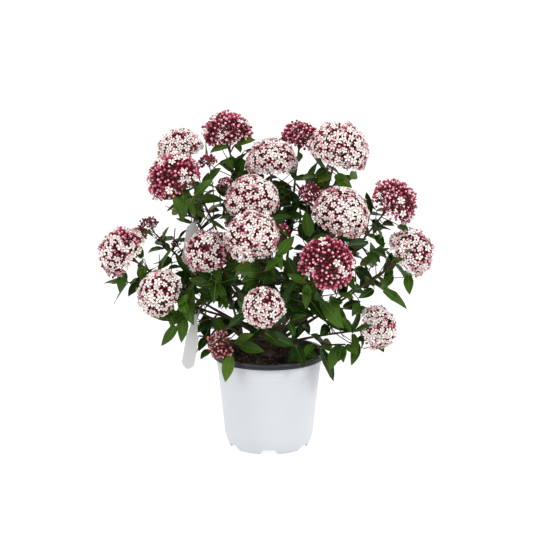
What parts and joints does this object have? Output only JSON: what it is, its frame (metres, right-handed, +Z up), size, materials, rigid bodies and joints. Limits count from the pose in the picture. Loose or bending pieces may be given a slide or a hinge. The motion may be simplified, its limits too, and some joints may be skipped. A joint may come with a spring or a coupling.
{
  "type": "potted viburnum",
  "caption": "Evergreen flowering shrub with domed heads of pink buds and small white flowers, in a round white nursery pot with a black rim.",
  "frame": {"origin": "middle of the pot's flat underside, where it stands on the ground", "axes": "+Z up; the side seen first faces -Y; +X to the right as seen from there"},
  "size_m": [0.4966, 0.3684, 0.4944],
  "materials": {
    "pot_plastic": "satin white outside, black rim and inside",
    "compost": "moist dark potting mix with bark chips",
    "bark": "reddish brown young bark",
    "blossom": "white petals and rose buds on leafy shoots",
    "foliage": "glossy dark green leaves",
    "tag_plastic": "plain white, unprinted"
  },
  "bodies": {
    "root": {"pot": "pot_plastic", "soil": "compost", "main_stem": "bark", "bough_left_low": "bark", "bough_left": "bark", "bough_left_rear": "bark", "bough_left_front": "bark", "bough_upper_left": "bark", "bough_top_left": "bark", "bough_middle": "bark", "bough_top_right": "bark", "bough_upper_right": "bark", "bough_right_high": "bark", "bough_right": "bark", "bough_right_low": "bark", "bough_front": "bark", "bough_front_low": "bark", "bough_rear_left": "bark", "bough_rear": "bark", "bough_rear_right": "bark", "head_top_left_rear": "blossom", "head_upper_left": "blossom", "head_top_left": "blossom", "head_top_middle": "blossom", "head_top_right": "blossom", "head_upper_right": "blossom", "head_right_high": "blossom", "head_right_middle": "blossom", "head_middle": "blossom", "head_middle_front": "blossom", "head_left_front": "blossom", "head_left": "blossom", "head_left_low": "blossom", "head_front": "blossom", "head_right": "blossom", "head_right_low": "blossom", "head_front_low": "blossom", "head_over_rim": "blossom", "head_left_bud": "blossom", "head_rear_right_middle": "blossom", "head_rear_middle": "blossom", "head_rear_left_low": "blossom", "head_rear_left": "blossom", "head_rear_left_high": "blossom", "head_rear_top": "blossom", "head_rear_right": "blossom", "head_rear_right_high": "blossom", "head_rear_low": "blossom", "leaves_right_low": "foliage", "leaves_left_low": "foliage", "leaves_middle": "foliage", "leaves_rear": "foliage", "leaves_rear_low": "foliage", "tag_upper": "tag_plastic", "tag_lower": "tag_plastic"}
  },
  "joints": []
}
